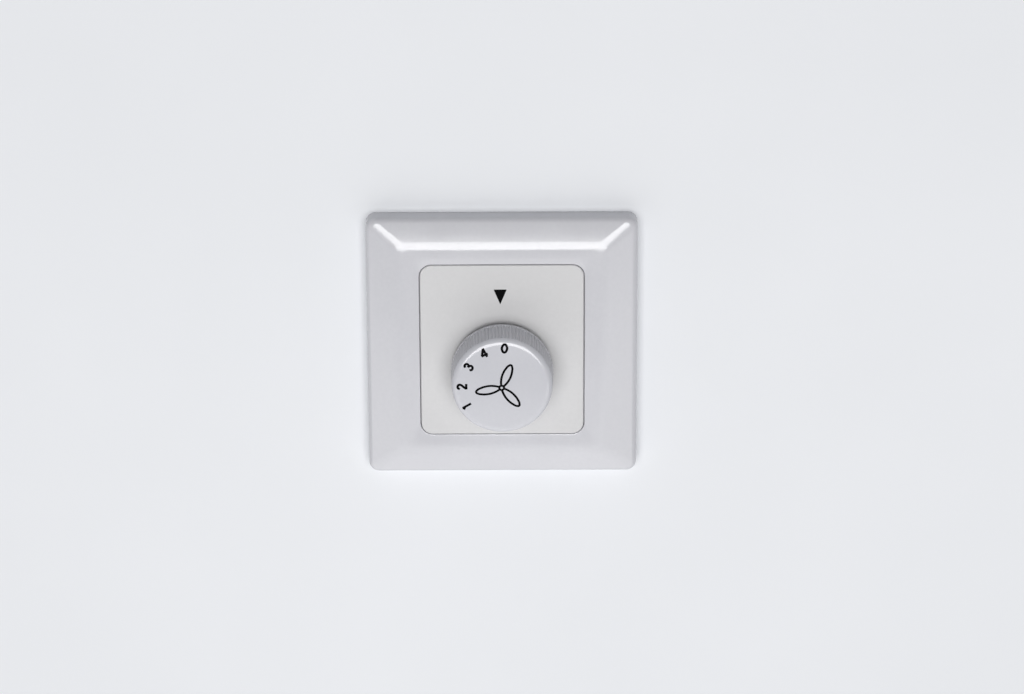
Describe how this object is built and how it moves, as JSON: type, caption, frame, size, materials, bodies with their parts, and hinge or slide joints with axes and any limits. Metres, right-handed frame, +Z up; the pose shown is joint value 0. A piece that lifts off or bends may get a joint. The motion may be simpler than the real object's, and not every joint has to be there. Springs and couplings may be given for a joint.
{
  "type": "fan speed control switch",
  "caption": "Flush-mounted rotary step switch for fan speed: bevelled square frame, centre plate and fluted knob with numbers, on a wall-box insert.",
  "frame": {"origin": "midpoint of the two wall-box screw slots, on the face of the wall", "axes": "+Y into the wall, front faces -Y, +Z up"},
  "size_m": [0.082, 0.0484, 0.082],
  "materials": {
    "frame_white": "gloss",
    "plate_white": "fine matt",
    "knob_white": "satin",
    "zinc_steel": "zinc plated",
    "screw_steel": "zinc plated",
    "spindle_steel": "turned",
    "spring_steel": "tempered",
    "nut_brass": "turned",
    "contact_brass": "stamped",
    "housing_grey": "moulded",
    "rotor_black": "moulded"
  },
  "bodies": {
    "base": {"cover_frame": "frame_white", "centre_plate": "plate_white", "plate_nut": "nut_brass", "threaded_neck": "nut_brass", "support_plate": "zinc_steel", "housing_cover": "housing_grey", "housing_base": "housing_grey", "housing_screws": "screw_steel", "detent_spring": "spring_steel", "common_contact": "contact_brass", "clamp_common": "contact_brass", "terminal_screws": "screw_steel", "speed_contact_4": "contact_brass", "speed_contact_3": "contact_brass", "speed_contact_2": "contact_brass", "speed_contact_1": "contact_brass", "clamp_4": "contact_brass", "clamp_3": "contact_brass", "clamp_2": "contact_brass", "clamp_1": "contact_brass"},
    "knob": {"speed_knob": "knob_white", "knob_clip": "spring_steel", "spindle": "spindle_steel", "retaining_ring": "spring_steel", "detent_wheel": "rotor_black", "rotor": "rotor_black", "wiper": "contact_brass"},
    "claw_left": {"claw_left": "zinc_steel"},
    "nut_left": {"claw_nut_left": "zinc_steel"},
    "screw_left": {"claw_screw_left": "screw_steel"},
    "claw_right": {"claw_right": "zinc_steel"},
    "nut_right": {"claw_nut_right": "zinc_steel"},
    "screw_right": {"claw_screw_right": "screw_steel"}
  },
  "joints": [
    {"name": "knob_turn", "type": "hinge", "parent": "base", "child": "knob", "pos_m": [0, 0, -0.0061], "axis": [0, 1, 0], "range_deg": [0, 120], "deforming": ["detent_spring"]},
    {"name": "claw_screw_left_turn", "type": "hinge", "parent": "base", "child": "screw_left", "pos_m": [-0.0205, 0, -0.01], "axis": [0, 1, 0], "range_deg": [0, 1800]},
    {"name": "claw_nut_left_slide", "type": "slide", "parent": "base", "child": "nut_left", "axis": [0, -1, 0], "range_m": [0, 0.004]},
    {"name": "claw_left_slide", "type": "slide", "parent": "base", "child": "claw_left", "axis": [-0.5, -0.866, 0], "range_m": [0, 0.00462]},
    {"name": "claw_screw_right_turn", "type": "hinge", "parent": "base", "child": "screw_right", "pos_m": [0.0205, 0, -0.01], "axis": [0, 1, 0], "range_deg": [0, 1800]},
    {"name": "claw_nut_right_slide", "type": "slide", "parent": "base", "child": "nut_right", "axis": [0, -1, 0], "range_m": [0, 0.004]},
    {"name": "claw_right_slide", "type": "slide", "parent": "base", "child": "claw_right", "axis": [0.5, -0.866, 0], "range_m": [0, 0.00462]}
  ],
  "couplings": [
    {"joint": "claw_screw_left_turn", "follows": "claw_nut_left_slide", "rad_per_m": 7854},
    {"joint": "claw_left_slide", "follows": "claw_nut_left_slide", "ratio": 1.1547},
    {"joint": "claw_screw_right_turn", "follows": "claw_nut_right_slide", "rad_per_m": 7854},
    {"joint": "claw_right_slide", "follows": "claw_nut_right_slide", "ratio": 1.1547}
  ]
}
